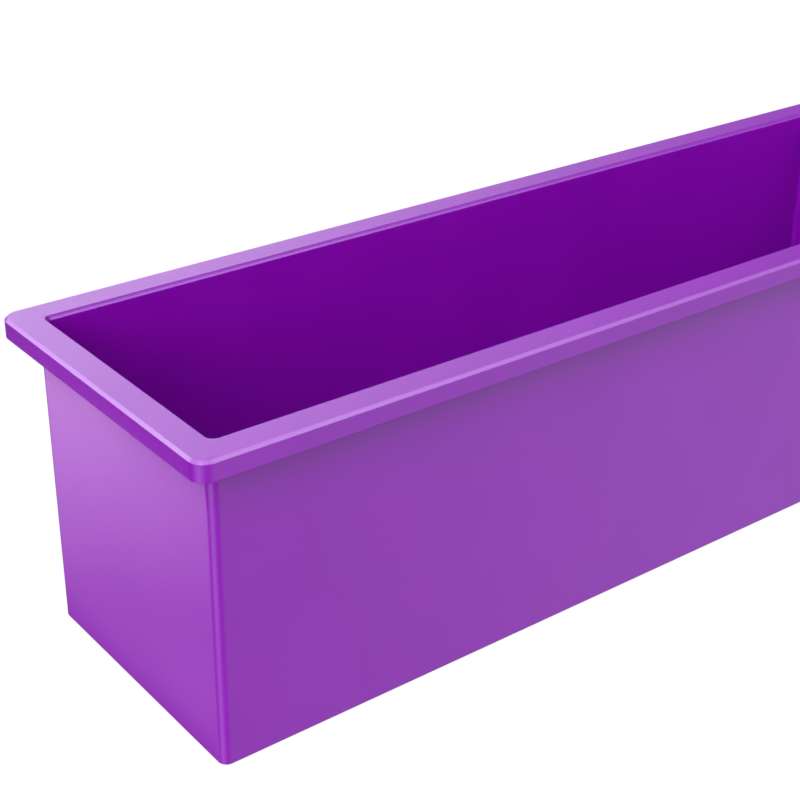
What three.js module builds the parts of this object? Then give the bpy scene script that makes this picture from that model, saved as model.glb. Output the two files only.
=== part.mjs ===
// A soap loaf mould: one long, open trough of moulded silicone rubber with a flat rim all the way round its mouth.
//
// The mould is a single moulding, so it is one closed solid. Every level of it is a rectangle with round corners.
// The solid is therefore one cross-section profile carried round those rectangles, with a flat cap under the trough
// and another on the floor of the cavity.
//
// Millimetres, +Z up, +X along the loaf. The origin is the centre of the underside.

import * as THREE from "three";

// Trough
const BASE_LENGTH = 251; // outside, at the underside
const BASE_WIDTH = 70;
const HEIGHT = 76.4; // underside to the top of the rim
const DRAFT = Math.tan(THREE.MathUtils.degToRad(0.1)); // the walls lean out a little as they rise
const WALL = 1.8;
const FLOOR = 2.4;
const OUTER_CORNER_RADIUS = 2.2;
const CAVITY_CORNER_RADIUS = 0.85;
const BASE_EDGE_RADIUS = 0.4;
const FLOOR_FILLET = 0.7;

// Rim
const RIM_THICKNESS = 4.7;
const RIM_OVERHANG = 5.85; // past the outside of the wall
const RIM_CORNER_RADIUS = 3.7;
const RIM_LOWER_EDGE_RADIUS = 0.25;
const RIM_BEVEL = 0.7; // flat, at 45 degrees, round the rim's upper edge

// Mouth of the cavity: the rim's flat top stops at a shallow drop, with the rounded top of the wall below it
const LAND_WIDTH = 7.1; // from the rim's side to the foot of the drop
const MOUTH_CORNER_RADIUS = 1.75;
const MOUTH_DROP = 0.45;
const DROP_LEAN = THREE.MathUtils.degToRad(30); // how far the face of the drop leans back from upright
const MOUTH_EDGE_RADIUS = 0.55;

// Facets
const CORNER_SEGMENTS = 8;
const EDGE_SEGMENTS = 3;

// How far the outside of the wall stands out from the underside's edge at a height.
const lean = (z) => z * DRAFT;

const rimUnderside = HEIGHT - RIM_THICKNESS;
const rimEdge = lean(rimUnderside) + RIM_OVERHANG;
const mouthEdge = rimEdge - LAND_WIDTH;
const quarterTurn = Math.PI / 2;

// One level of the profile: how far out from the underside's edge it lies, its height and its corner radius.
const level = (out, z, corner) => ({ out, z, corner });

// A quarter-round edge of the profile, from one angle to another about its centre, in the order the profile runs.
// The corner radius grows by as much as the edge moves out.
function roundEdge({ out, z, radius, from, to, corner }) {
  const arc = new THREE.EllipseCurve(out, z, radius, radius, from, to, to < from);
  return arc.getPoints(EDGE_SEGMENTS).map((p) => level(p.x, p.y, corner + p.x - out));
}

// The outside of the trough, from the underside up to the rim.
function outsideLevels() {
  const radius = BASE_EDGE_RADIUS;
  const corner = OUTER_CORNER_RADIUS - radius;
  return [
    ...roundEdge({ out: -radius, z: radius, radius, from: -quarterTurn, to: 0, corner }),
    level(lean(rimUnderside), rimUnderside, OUTER_CORNER_RADIUS),
  ];
}

// The rim, from its underside round its lower edge, up over the bevel and across its flat top to the mouth.
function rimLevels() {
  const radius = RIM_LOWER_EDGE_RADIUS;
  const dropRun = MOUTH_DROP * Math.tan(DROP_LEAN);
  return [
    ...roundEdge({
      out: rimEdge - radius,
      z: rimUnderside + radius,
      radius,
      from: -quarterTurn,
      to: 0,
      corner: RIM_CORNER_RADIUS - radius,
    }),
    level(rimEdge, HEIGHT - RIM_BEVEL, RIM_CORNER_RADIUS),
    level(rimEdge - RIM_BEVEL, HEIGHT, RIM_CORNER_RADIUS - RIM_BEVEL),
    level(mouthEdge + dropRun, HEIGHT, MOUTH_CORNER_RADIUS + dropRun),
  ];
}

// The inside, from the foot of the drop over the rounded top of the wall and down to the floor of the cavity.
function cavityLevels() {
  const wallTop = HEIGHT - MOUTH_DROP;
  const filletTop = FLOOR + FLOOR_FILLET;
  return [
    ...roundEdge({
      out: mouthEdge,
      z: wallTop - MOUTH_EDGE_RADIUS,
      radius: MOUTH_EDGE_RADIUS,
      from: quarterTurn,
      to: 2 * quarterTurn,
      corner: MOUTH_CORNER_RADIUS,
    }),
    ...roundEdge({
      out: lean(filletTop) - WALL - FLOOR_FILLET,
      z: filletTop,
      radius: FLOOR_FILLET,
      from: 0,
      to: -quarterTurn,
      corner: CAVITY_CORNER_RADIUS - FLOOR_FILLET,
    }),
  ];
}

// The outline of one level, anticlockwise seen from above: a quarter turn round each of its four corners.
function outline({ out, corner }) {
  const x = BASE_LENGTH / 2 + out - corner;
  const y = BASE_WIDTH / 2 + out - corner;
  const centres = [
    [x, y],
    [-x, y],
    [-x, -y],
    [x, -y],
  ];
  return centres.flatMap(([centreX, centreY], i) => {
    const arc = new THREE.EllipseCurve(centreX, centreY, corner, corner, i * quarterTurn, (i + 1) * quarterTurn);
    return arc.getPoints(CORNER_SEGMENTS);
  });
}

// A closed solid through the levels in order, capped flat at the first and the last.
function solidThrough(levels) {
  const outlines = levels.map(outline);
  const count = outlines[0].length;
  const positions = outlines.flatMap((points, i) => points.flatMap((p) => [p.x, p.y, levels[i].z]));
  const triangles = [];
  for (let ring = 0; ring < levels.length - 1; ring++) {
    for (let i = 0; i < count; i++) {
      const next = (i + 1) % count;
      const [a, b] = [ring * count + i, ring * count + next];
      const [c, d] = [a + count, b + count];
      triangles.push(a, b, d, a, d, c);
    }
  }
  const last = (levels.length - 1) * count;
  for (const [a, b, c] of THREE.ShapeUtils.triangulateShape(outlines[0], [])) {
    triangles.push(a, c, b);
  }
  for (const [a, b, c] of THREE.ShapeUtils.triangulateShape(outlines[levels.length - 1], [])) {
    triangles.push(last + a, last + b, last + c);
  }
  const geometry = new THREE.BufferGeometry();
  geometry.setAttribute("position", new THREE.Float32BufferAttribute(positions, 3));
  geometry.setIndex(triangles);
  geometry.computeVertexNormals();
  return geometry;
}

function silicone() {
  return new THREE.MeshStandardMaterial({ color: 0x8f3fb4, roughness: 0.45, metalness: 0 });
}

const mould = new THREE.Mesh(solidThrough([...outsideLevels(), ...rimLevels(), ...cavityLevels()]), silicone());
mould.name = "silicone_mould";

const loafMould = new THREE.Group();
loafMould.add(mould);

export default loafMould;
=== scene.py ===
"""The looks of a soap loaf mould: one long trough of moulded silicone rubber with a flat rim round it.

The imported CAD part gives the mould's size. The same cross-section is carried round it here with finer
round edges, as one mesh in place of the CAD solid, and gets a satin silicone material.

Metres, +Z up, +X along the loaf, the origin at the centre of the underside.
"""

import math

import bmesh
import bpy
from mathutils import Matrix, Vector


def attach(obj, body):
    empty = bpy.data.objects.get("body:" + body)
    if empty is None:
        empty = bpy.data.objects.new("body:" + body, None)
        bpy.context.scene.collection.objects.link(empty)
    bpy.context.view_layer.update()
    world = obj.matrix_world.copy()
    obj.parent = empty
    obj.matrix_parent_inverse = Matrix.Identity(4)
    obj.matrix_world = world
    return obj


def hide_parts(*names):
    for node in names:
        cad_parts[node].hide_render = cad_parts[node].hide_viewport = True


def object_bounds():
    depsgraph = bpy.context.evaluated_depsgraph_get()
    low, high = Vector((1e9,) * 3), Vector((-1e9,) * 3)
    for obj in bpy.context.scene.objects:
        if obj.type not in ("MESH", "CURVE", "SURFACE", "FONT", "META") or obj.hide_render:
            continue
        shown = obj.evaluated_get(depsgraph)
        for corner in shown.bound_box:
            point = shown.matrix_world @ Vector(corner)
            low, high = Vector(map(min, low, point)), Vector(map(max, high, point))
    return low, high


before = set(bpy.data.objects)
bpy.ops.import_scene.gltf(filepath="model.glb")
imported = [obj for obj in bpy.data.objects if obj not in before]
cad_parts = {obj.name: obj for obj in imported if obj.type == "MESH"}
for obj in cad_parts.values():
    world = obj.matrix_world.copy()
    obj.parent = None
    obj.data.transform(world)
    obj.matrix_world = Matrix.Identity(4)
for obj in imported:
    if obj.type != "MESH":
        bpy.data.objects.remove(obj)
CAD_LOW, CAD_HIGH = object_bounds()

MM = 0.001

# The mould's own sizes, beside those that the CAD box gives
DRAFT = math.tan(math.radians(0.1))  # the walls lean out a little as they rise
WALL = 1.8 * MM
FLOOR = 2.4 * MM
RIM_THICKNESS = 4.7 * MM
RIM_OVERHANG = 5.85 * MM  # past the outside of the wall
LAND_WIDTH = 7.1 * MM  # from the rim's side to the foot of the drop at the mouth
MOUTH_DROP = 0.45 * MM
DROP_LEAN = math.radians(30)  # how far the face of the drop leans back from upright

# Plan corners
OUTER_CORNER = 2.2 * MM
CAVITY_CORNER = 0.85 * MM
RIM_CORNER = 3.7 * MM
MOUTH_CORNER = 1.75 * MM

# Edges of the cross-section
BASE_EDGE = 0.4 * MM
UNDER_RIM_FILLET = 0.5 * MM
RIM_LOWER_EDGE = 0.25 * MM
RIM_BEVEL = 0.7 * MM  # round the rim's upper edge
RIM_BEVEL_SOFTENING = 0.1 * MM  # the radius of the bevel's own two edges
DROP_EDGE = 0.12 * MM
MOUTH_BEVEL = 0.55 * MM  # on the top of the wall, below the drop
MOUTH_BEVEL_SOFTENING = 0.3 * MM
FLOOR_FILLET = 0.7 * MM

# Mesh density
CORNER_STEPS = 12  # round each plan corner
LONG_STEPS = 60  # along each long side
SHORT_STEPS = 18  # along each end
CAP_STEPS = 8  # from the edge of a flat cap to its middle line
EDGE_STEPS = 5  # round an edge of the cross-section
FINE_EDGE_STEPS = 3  # round one of its smallest edges
BEVEL_STEPS = 3
WALL_STEPS = 20
UNDER_RIM_STEPS = 4
RIM_SIDE_STEPS = 3
LAND_STEPS = 6
DROP_STEPS = 2

# Colours of the silicone, and a painted highlight on the rim's bevel
DEEP_PURPLE = (0.176, 0.001, 0.317, 1)
PURPLE = (0.188, 0.001, 0.332, 1)
PALE_PURPLE = (0.200, 0.002, 0.347, 1)
# a lighter purple on the rim's bevel: a painted highlight along the upper edge
PAINTED_BEVEL_HIGHLIGHT = (0.25, 0.06, 0.40, 1)
BEVEL_MARK = "edge"  # the mesh attribute that is 1 on the rim's bevel

# Patterns in the silicone: how big they are, and how deep those that stand out are
CLOUD_SIZE = 26 * MM
GRAIN_SIZE = 1.1 * MM
HAZE_SIZE = 35 * MM
WAVE_SIZE = 60 * MM
WAVE_DEPTH = 0.12 * MM
PEEL_SIZE = 3.5 * MM
PEEL_DEPTH = 0.006 * MM
SKIN_SIZE = 0.45 * MM
SKIN_DEPTH = 0.0025 * MM
NOISE_LOW, NOISE_MIDDLE, NOISE_HIGH = 0.3, 0.5, 0.7  # the range of nearly all of a noise pattern
GRAIN_SHARE = 0.3  # of the colour pattern

# The silicone's gloss
INDEX_OF_REFRACTION = 1.5
ROUGHNESS_LOW, ROUGHNESS_HIGH = 0.22, 0.28
GRAIN_ROUGHNESS = 0.02  # more or less
BEVEL_POLISH = 0.06  # how much less rough the bevel is

# The camera: where it looks, how far it rolls, and where it stands from the point on the table that is
# below the rim's nearest corner
VIEW_AZIMUTH = math.radians(37.86)  # from +Y towards +X
VIEW_ELEVATION = math.radians(27.37)  # downwards
VIEW_ROLL = math.radians(0.75)
VIEW_LENS = 75.0
VIEW_NEAREST = 0.01  # how close to it things still show
VIEW_FROM_CORNER = Vector((-0.1319, -0.2290, 0.2259))

# Studio light: the heading from +Y towards +X, elevation, half width and brightness of each far soft light
SOFT_LIGHTS = {
    "left softbox": (-118, 25, 15, 10.2),
    "back softbox": (16, 27, 19, 3.1),
    "back left softbox": (-33, 28, 12, 5.5),
    "high left softbox": (-65, 44, 11, 2.3),
    "overhead softbox": (-112, 58, 14, 4.0),
    "high front softbox": (-170, 59, 11, 2.8),
    "right softbox": (132, 54, 13, 5.2),
    "front bounce": (145, -8, 33, 1.5),
    "back bounce": (-25, -25, 25, 0.12),
    "left bounce": (-112, -29, 20, 2.0),
}
GLOW_FROM_BELOW = 0.08  # of the table, in every direction that points down by 30 degrees or more
GLOW_FULL_AT = -math.sin(math.radians(30))

# The table that the mould stands on
TABLE_REACH = 6.0
TABLE_SEGMENTS = 64
TABLE_GAP = 0.2 * MM  # just clear of the mould's underside
TABLE_GLOW = 0.92
TABLE_GREY = (0.08, 0.08, 0.08, 1)

# The upright card beside the near end. It starts behind the line of the front wall and ends past that of
# the back wall.
CARD_GAP = 15 * MM  # to the end wall
CARD_FOOT = -20 * MM
CARD_TOP = 51 * MM
CARD_START = 10 * MM
CARD_END = 45 * MM
CARD_COLOUR = (1.0, 0.72, 0.96, 1)
CARD_DIMMEST = 0.8
CARD_GAIN_ALONG = 1.25  # how much brighter it gets from its start to its end
CARD_GAIN_UP = 2.05  # and from its foot to its top
CARD_OFFSET = -0.48  # its brightness where both gains start, before it is held to the dimmest

# Directions in the cross-section, in quarter turns
DOWN, OUTWARDS, UP, INWARDS = -1, 0, 1, 2
QUARTER_TURN = math.pi / 2

HEIGHT = CAD_HIGH.z
RIM_UNDERSIDE = HEIGHT - RIM_THICKNESS


def lean(z):
    """How far the outside of the wall stands out from the underside's edge at a height."""
    return z * DRAFT


RIM_EDGE = lean(RIM_UNDERSIDE) + RIM_OVERHANG
MOUTH_INSET = RIM_EDGE - LAND_WIDTH
HALF_LENGTH = CAD_HIGH.x - RIM_EDGE
HALF_WIDTH = CAD_HIGH.y - RIM_EDGE


# Cross-section ------------------------------------------------------------------------------------


def round_edge(out, z, radius, start, end, corner, steps=EDGE_STEPS):
    """A round edge of the profile about (out, z), from one direction to another.

    The plan corner radius is the given one at the centre, and grows by as much as the edge moves out.
    """
    levels = []
    for i in range(steps + 1):
        angle = (start + (end - start) * i / steps) * QUARTER_TURN
        shift = radius * math.cos(angle)
        levels.append((out + shift, z + radius * math.sin(angle), corner + shift))
    return levels


def soft_bevel(out, z, size, soft, side, corner):
    """A flat bevel of the profile's square edge at (out, z), whose own two edges have the radius soft.

    The side next to it faces OUTWARDS, or INWARDS to the cavity. The corner is the plan corner radius at
    the square edge. The levels run upwards.
    """
    facing = 1 if side == OUTWARDS else -1
    halfway = (side + UP) / 2
    low_centre = out - facing * soft
    low = round_edge(low_centre, z - size, soft, side, halfway, corner - facing * soft, FINE_EDGE_STEPS)
    high_centre = out - facing * size
    high = round_edge(high_centre, z - soft, soft, halfway, UP, corner - facing * size, FINE_EDGE_STEPS)
    return low + between(low[-1], high[0], BEVEL_STEPS) + high


def between(first, last, steps):
    """The levels strictly between two, evenly spaced."""
    return [tuple(a + (b - a) * i / steps for a, b in zip(first, last)) for i in range(1, steps)]


def rim_stretches():
    """The levels of the base's edge, the fillet under the rim and the rim's lower and upper edges."""
    base = round_edge(-BASE_EDGE, BASE_EDGE, BASE_EDGE, DOWN, OUTWARDS, OUTER_CORNER - BASE_EDGE)
    under_rim = round_edge(
        lean(RIM_UNDERSIDE) + UNDER_RIM_FILLET,
        RIM_UNDERSIDE - UNDER_RIM_FILLET,
        UNDER_RIM_FILLET,
        INWARDS,
        UP,
        OUTER_CORNER + UNDER_RIM_FILLET,
    )
    rim_lower = round_edge(
        RIM_EDGE - RIM_LOWER_EDGE,
        RIM_UNDERSIDE + RIM_LOWER_EDGE,
        RIM_LOWER_EDGE,
        DOWN,
        OUTWARDS,
        RIM_CORNER - RIM_LOWER_EDGE,
    )
    rim_upper = soft_bevel(RIM_EDGE, HEIGHT, RIM_BEVEL, RIM_BEVEL_SOFTENING, OUTWARDS, RIM_CORNER)
    return [base, under_rim, rim_lower, rim_upper]


def cavity_stretches():
    """The levels of the drop's top edge, the wall's bevelled top and the fillet at the cavity's floor."""
    drop_fall = MOUTH_DROP - DROP_EDGE * (1 - math.sin(DROP_LEAN))
    drop_run = drop_fall * math.tan(DROP_LEAN) + DROP_EDGE * math.cos(DROP_LEAN)
    drop = round_edge(
        MOUTH_INSET + drop_run,
        HEIGHT - DROP_EDGE,
        DROP_EDGE,
        UP,
        INWARDS - DROP_LEAN / QUARTER_TURN,
        MOUTH_CORNER + drop_run,
        FINE_EDGE_STEPS,
    )
    mouth = soft_bevel(
        MOUTH_INSET - MOUTH_BEVEL,
        HEIGHT - MOUTH_DROP,
        MOUTH_BEVEL,
        MOUTH_BEVEL_SOFTENING,
        INWARDS,
        MOUTH_CORNER - MOUTH_BEVEL,
    )
    mouth.reverse()
    inner_foot = lean(FLOOR + FLOOR_FILLET) - WALL
    floor_edge = round_edge(
        inner_foot - FLOOR_FILLET,
        FLOOR + FLOOR_FILLET,
        FLOOR_FILLET,
        OUTWARDS,
        DOWN,
        CAVITY_CORNER - FLOOR_FILLET,
    )
    return [drop, mouth, floor_edge]


def mould_profile():
    """The profile from the underside round to the cavity's floor.

    Each level holds how far out from the underside's edge it lies, its height and its plan corner radius.
    """
    stretches = rim_stretches() + cavity_stretches()
    gaps = [WALL_STEPS, UNDER_RIM_STEPS, RIM_SIDE_STEPS, LAND_STEPS, DROP_STEPS, WALL_STEPS]
    profile = list(stretches[0])
    for stretch, steps in zip(stretches[1:], gaps):
        profile += between(profile[-1], stretch[0], steps) + stretch
    return profile


# Mesh ---------------------------------------------------------------------------------------------


def ring(out, z, corner):
    """One level's outline, anticlockwise from above: round corners and evenly divided straight sides."""
    x = HALF_LENGTH + out - corner
    y = HALF_WIDTH + out - corner
    centres = [(x, y), (-x, y), (-x, -y), (x, -y)]
    side_steps = [LONG_STEPS, SHORT_STEPS, LONG_STEPS, SHORT_STEPS]
    arcs = []
    for i, (cx, cy) in enumerate(centres):
        angles = [(i + j / CORNER_STEPS) * QUARTER_TURN for j in range(CORNER_STEPS + 1)]
        arc = [Vector((cx + corner * math.cos(a), cy + corner * math.sin(a), z)) for a in angles]
        arcs.append(arc)
    points = []
    for i, steps in enumerate(side_steps):
        start, end = arcs[i][-1], arcs[(i + 1) % 4][0]
        points += arcs[i] + [start.lerp(end, j / steps) for j in range(1, steps)]
    return points


def on_rim_bevel(out, z):
    """1 on the bevel round the rim's upper edge and 0 elsewhere."""
    hair = 0.001 * MM  # far less than any of the mould's sizes
    return float(out > RIM_EDGE - RIM_BEVEL + hair and z > HEIGHT - RIM_BEVEL + hair)


def bridge(mesh, low, high):
    """One band of faces between two rings of vertices."""
    count = len(low)
    for i in range(count):
        j = (i + 1) % count
        mesh.faces.new((low[i], low[j], high[j], high[i]))


def cap(mesh, loop, facing_down):
    """A flat cap inside a ring: rings that shrink towards the middle line, and one last thin face."""
    low = Vector([min(v.co[k] for v in loop) for k in range(3)])
    high = Vector([max(v.co[k] for v in loop) for k in range(3)])
    centre = (low + high) / 2
    half = (high - low) / 2
    outer = loop
    for step in range(1, CAP_STEPS):
        inset = half.y * step / CAP_STEPS
        scale_x = (half.x - inset) / half.x
        scale_y = (half.y - inset) / half.y
        inner = []
        for vertex in loop:
            offset = vertex.co - centre
            place = centre + Vector((offset.x * scale_x, offset.y * scale_y, 0))
            inner.append(mesh.verts.new(place))
        if facing_down:
            bridge(mesh, inner, outer)
        else:
            bridge(mesh, outer, inner)
        outer = inner
    mesh.faces.new(list(reversed(outer)) if facing_down else outer)


def mesh_data(mesh, name):
    """The finished mesh of a bmesh, which is freed."""
    data = bpy.data.meshes.new(name)
    mesh.to_mesh(data)
    mesh.free()
    return data


def mould_mesh():
    """The closed mesh through the profile's rings, with a flat cap at each end of it."""
    mesh = bmesh.new()
    mark = mesh.verts.layers.float.new(BEVEL_MARK)
    loops = []
    for out, z, corner in mould_profile():
        loop = [mesh.verts.new(point) for point in ring(out, z, corner)]
        for vertex in loop:
            vertex[mark] = on_rim_bevel(out, z)
        loops.append(loop)
    for low, high in zip(loops, loops[1:]):
        bridge(mesh, low, high)
    cap(mesh, loops[0], facing_down=True)
    cap(mesh, loops[-1], facing_down=False)
    return mesh_data(mesh, "silicone_mould_skin")


# Materials ----------------------------------------------------------------------------------------


class Nodes:
    """Short calls for building a node tree."""

    def __init__(self, tree):
        self.tree = tree
        tree.nodes.clear()

    def add(self, kind, **settings):
        node = self.tree.nodes.new(kind)
        for name, value in settings.items():
            setattr(node, name, value)
        return node

    def link(self, source, target):
        """Plugs a socket, or sets a plain value."""
        if isinstance(source, bpy.types.NodeSocket):
            self.tree.links.new(source, target)
        else:
            target.default_value = source

    def noise(self, place, size, detail):
        node = self.add("ShaderNodeTexNoise")
        self.link(place, node.inputs["Vector"])
        node.inputs["Scale"].default_value = 1 / size
        node.inputs["Detail"].default_value = detail
        return node.outputs["Fac"]

    def math(self, operation, first, second=0.0):
        node = self.add("ShaderNodeMath", operation=operation)
        self.link(first, node.inputs[0])
        self.link(second, node.inputs[1])
        return node.outputs[0]

    def plus(self, first, second):
        return self.math("ADD", first, second)

    def scaled(self, value, factor):
        return self.math("MULTIPLY", value, factor)

    def blend_values(self, first, second, share):
        """Two values added, the second with the given share and the first with the rest."""
        return self.plus(self.scaled(first, 1 - share), self.scaled(second, share))

    def map_range(self, value, low, high, to_low, to_high):
        node = self.add("ShaderNodeMapRange")
        for source, target in zip((value, low, high, to_low, to_high), node.inputs):
            self.link(source, target)
        return node.outputs[0]

    def coordinates(self, place):
        """The X, Y and Z of a place or a direction."""
        node = self.add("ShaderNodeSeparateXYZ")
        self.link(place, node.inputs[0])
        return node.outputs

    def ramp(self, value, stops):
        node = self.add("ShaderNodeValToRGB")
        elements = node.color_ramp.elements
        while len(elements) < len(stops):
            elements.new(1.0)
        for element, (position, colour) in zip(elements, stops):
            element.position = position
            element.color = colour
        self.link(value, node.inputs[0])
        return node.outputs["Color"]

    def mix_colour(self, factor, first, second):
        node = self.add("ShaderNodeMix", data_type="RGBA")
        colours_in = [socket for socket in node.inputs if socket.type == "RGBA"]
        self.link(factor, node.inputs[0])
        self.link(first, colours_in[0])
        self.link(second, colours_in[1])
        return next(socket for socket in node.outputs if socket.type == "RGBA")

    def bump(self, height, distance, normal=None):
        """Bumps of the height map times the distance, on top of an earlier bump."""
        node = self.add("ShaderNodeBump")
        node.inputs["Distance"].default_value = distance
        self.link(height, node.inputs["Height"])
        if normal is not None:
            self.link(normal, node.inputs["Normal"])
        return node.outputs["Normal"]

    def show(self, shader, kind="ShaderNodeOutputMaterial"):
        """Ends the tree in an output with the shader for its surface."""
        output = self.add(kind)
        self.link(shader.outputs[0], output.inputs["Surface"])


def new_material(name):
    """A material and the short calls for its empty node tree."""
    material = bpy.data.materials.new(name)
    material.use_nodes = True
    return material, Nodes(material.node_tree)


def silicone():
    """Satin purple silicone: pigment clouds, a fine grain, slow waves in the walls, a polished bevel, and
    a painted highlight in the bevel's lighter colour.
    """
    material, nodes = new_material("silicone")
    place = nodes.add("ShaderNodeTexCoord").outputs["Object"]
    bevel = nodes.add("ShaderNodeAttribute", attribute_name=BEVEL_MARK).outputs["Fac"]

    clouds = nodes.noise(place, CLOUD_SIZE, detail=3)
    grain = nodes.noise(place, GRAIN_SIZE, detail=2)
    tone = nodes.blend_values(clouds, grain, GRAIN_SHARE)
    shades = [(NOISE_LOW, DEEP_PURPLE), (NOISE_MIDDLE, PURPLE), (NOISE_HIGH, PALE_PURPLE)]
    # the rim's bevel takes the lighter purple, a painted highlight along the edge
    colour = nodes.mix_colour(bevel, nodes.ramp(tone, shades), PAINTED_BEVEL_HIGHLIGHT)

    haze = nodes.noise(place, HAZE_SIZE, detail=4)
    rough = nodes.map_range(haze, NOISE_LOW, NOISE_HIGH, ROUGHNESS_LOW, ROUGHNESS_HIGH)
    speckle = nodes.map_range(grain, NOISE_LOW, NOISE_HIGH, -GRAIN_ROUGHNESS, GRAIN_ROUGHNESS)
    rough = nodes.plus(rough, speckle)
    rough = nodes.plus(rough, nodes.scaled(bevel, -BEVEL_POLISH))

    waves = nodes.noise(place, WAVE_SIZE, detail=1)
    peel = nodes.noise(place, PEEL_SIZE, detail=2)
    skin = nodes.noise(place, SKIN_SIZE, detail=2)
    normal = nodes.bump(waves, WAVE_DEPTH)
    normal = nodes.bump(peel, PEEL_DEPTH, normal)
    normal = nodes.bump(skin, SKIN_DEPTH, normal)

    shader = nodes.add("ShaderNodeBsdfPrincipled")
    shader.inputs["IOR"].default_value = INDEX_OF_REFRACTION
    nodes.link(colour, shader.inputs["Base Color"])
    nodes.link(rough, shader.inputs["Roughness"])
    nodes.link(normal, shader.inputs["Normal"])
    nodes.show(shader)
    return material


def table_material():
    """Pale and evenly lit from within, and clear from below, so that the underside can be seen."""
    material, nodes = new_material("studio_floor")
    glow = nodes.add("ShaderNodeEmission")
    glow.inputs["Strength"].default_value = TABLE_GLOW
    surface = nodes.add("ShaderNodeBsdfDiffuse")
    surface.inputs["Color"].default_value = TABLE_GREY
    lit = nodes.add("ShaderNodeAddShader")
    nodes.link(glow.outputs[0], lit.inputs[0])
    nodes.link(surface.outputs[0], lit.inputs[1])
    clear = nodes.add("ShaderNodeBsdfTransparent")
    side = nodes.add("ShaderNodeNewGeometry")
    mix = nodes.add("ShaderNodeMixShader")
    nodes.link(side.outputs["Backfacing"], mix.inputs[0])
    nodes.link(lit.outputs[0], mix.inputs[1])
    nodes.link(clear.outputs[0], mix.inputs[2])
    nodes.show(mix)
    return material


def card_material():
    """A light of its own, which grows upwards and towards the mould's back."""
    material, nodes = new_material("end_card")
    share = nodes.coordinates(nodes.add("ShaderNodeTexCoord").outputs["Generated"])
    along = nodes.scaled(share["Y"], CARD_GAIN_ALONG)
    up = nodes.scaled(share["Z"], CARD_GAIN_UP)
    brightness = nodes.plus(nodes.plus(along, up), CARD_OFFSET)
    glow = nodes.add("ShaderNodeEmission")
    glow.inputs["Color"].default_value = CARD_COLOUR
    nodes.link(nodes.math("MAXIMUM", brightness, CARD_DIMMEST), glow.inputs["Strength"])
    nodes.show(glow)
    return material


# Scene --------------------------------------------------------------------------------------------


def add_object(name, data):
    thing = bpy.data.objects.new(name, data)
    bpy.context.scene.collection.objects.link(thing)
    return thing


def build_mould():
    mould = add_object("silicone_mould_body", mould_mesh())
    mould.data.materials.append(silicone())
    for face in mould.data.polygons:
        face.use_smooth = True
    flatten = mould.modifiers.new("keep_flats_flat", "WEIGHTED_NORMAL")
    flatten.mode = "FACE_AREA"
    flatten.weight = 100  # a corner's normal follows its largest face
    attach(mould, "root")
    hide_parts("silicone_mould")


def build_table():
    """A wide round table top that only the camera sees. The studio light stands in for its bounce."""
    mesh = bmesh.new()
    bmesh.ops.create_circle(mesh, cap_ends=True, segments=TABLE_SEGMENTS, radius=TABLE_REACH)
    table = add_object("floor", mesh_data(mesh, "floor"))
    table.data.materials.append(table_material())
    table.location.z = -TABLE_GAP
    table.visible_diffuse = False
    table.visible_glossy = False


def build_card():
    """A lit card beside the near end, seen only as the soft gradient that the glossy end wall mirrors."""
    x = -HALF_LENGTH - CARD_GAP
    start, end = CARD_START - HALF_WIDTH, HALF_WIDTH + CARD_END
    corners = [(x, start, CARD_FOOT), (x, end, CARD_FOOT), (x, end, CARD_TOP), (x, start, CARD_TOP)]
    data = bpy.data.meshes.new("end_card")
    data.from_pydata(corners, [], [(0, 1, 2, 3)])
    data.materials.append(card_material())
    card = add_object("end_card", data)
    card.visible_camera = False
    card.visible_diffuse = False
    card.visible_shadow = False


def direction(heading, elevation):
    """The unit vector of a heading from +Y towards +X and an elevation."""
    level = math.cos(elevation)
    return Vector((math.sin(heading) * level, math.cos(heading) * level, math.sin(elevation)))


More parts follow.
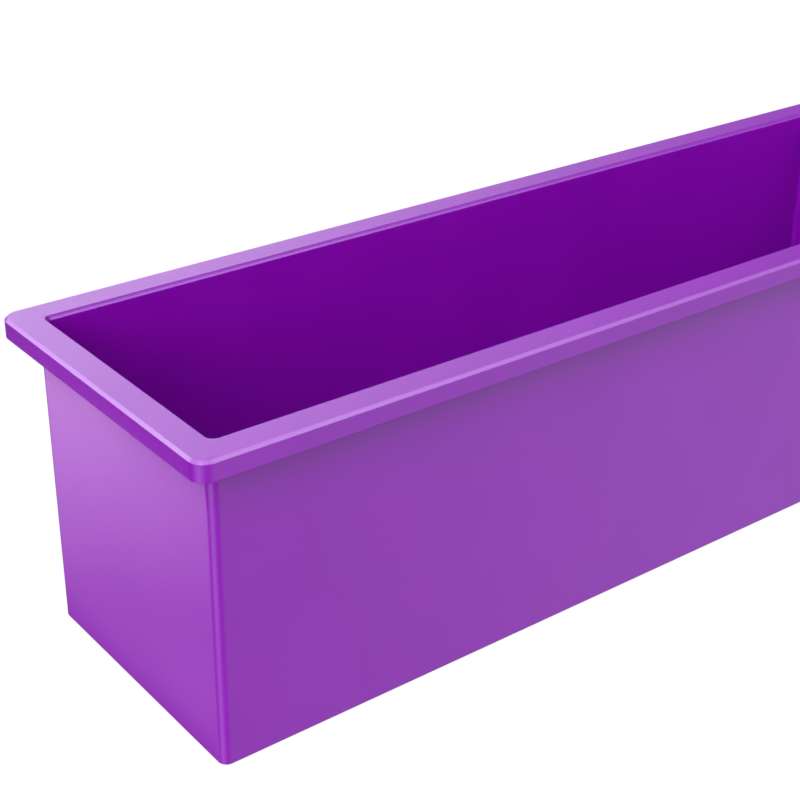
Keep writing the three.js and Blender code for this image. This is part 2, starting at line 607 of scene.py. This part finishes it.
def build_camera():
    """The camera, whose roll turns it about its own line of sight."""
    data = bpy.data.cameras.new("camera")
    data.lens = VIEW_LENS
    data.clip_start = VIEW_NEAREST
    camera = add_object("camera", data)
    corner = Vector((CAD_LOW.x, CAD_LOW.y, 0))
    level_turn = direction(VIEW_AZIMUTH, -VIEW_ELEVATION).to_track_quat("-Z", "Y").to_matrix()
    turn = level_turn @ Matrix.Rotation(VIEW_ROLL, 3, "Z")
    camera.matrix_world = Matrix.LocRotScale(corner + VIEW_FROM_CORNER, turn, None)
    bpy.context.scene.camera = camera


def soft_light(nodes, towards, heading, elevation, half_width, brightness):
    """The glow of one soft light in a direction: full at its middle, half of that at its half width."""
    facing = nodes.add("ShaderNodeVectorMath", operation="DOT_PRODUCT")
    nodes.link(towards, facing.inputs[0])
    facing.inputs[1].default_value = direction(math.radians(heading), math.radians(elevation))
    sharpness = math.log(2) / (1 - math.cos(math.radians(half_width)))
    away = nodes.plus(facing.outputs["Value"], -1.0)
    glow = nodes.math("EXPONENT", nodes.scaled(away, sharpness))
    return nodes.scaled(glow, brightness)


def build_light():
    """A plain studio far around: soft lights in a dark room, which the camera itself sees as white."""
    world = bpy.data.worlds.new("studio")
    world.use_nodes = True
    nodes = Nodes(world.node_tree)
    towards = nodes.add("ShaderNodeTexCoord").outputs["Generated"]
    total = nodes.map_range(nodes.coordinates(towards)["Z"], 0, GLOW_FULL_AT, 0, GLOW_FROM_BELOW)
    for settings in SOFT_LIGHTS.values():
        total = nodes.plus(total, soft_light(nodes, towards, *settings))
    strength = nodes.add("ShaderNodeMix", data_type="FLOAT")
    nodes.link(nodes.add("ShaderNodeLightPath").outputs["Is Camera Ray"], strength.inputs[0])
    nodes.link(total, strength.inputs[2])
    nodes.link(1.0, strength.inputs[3])
    background = nodes.add("ShaderNodeBackground")
    nodes.link(strength.outputs[0], background.inputs["Strength"])
    background.inputs["Color"].default_value = (1, 1, 1, 1)
    nodes.show(background, "ShaderNodeOutputWorld")
    scene = bpy.context.scene
    scene.world = world
    scene.view_settings.view_transform = "Standard"
    scene.cycles.denoising_input_passes = "RGB"  # the guide passes leave specks on plain glossy walls


build_mould()
build_table()
build_camera()
build_light()
build_card()
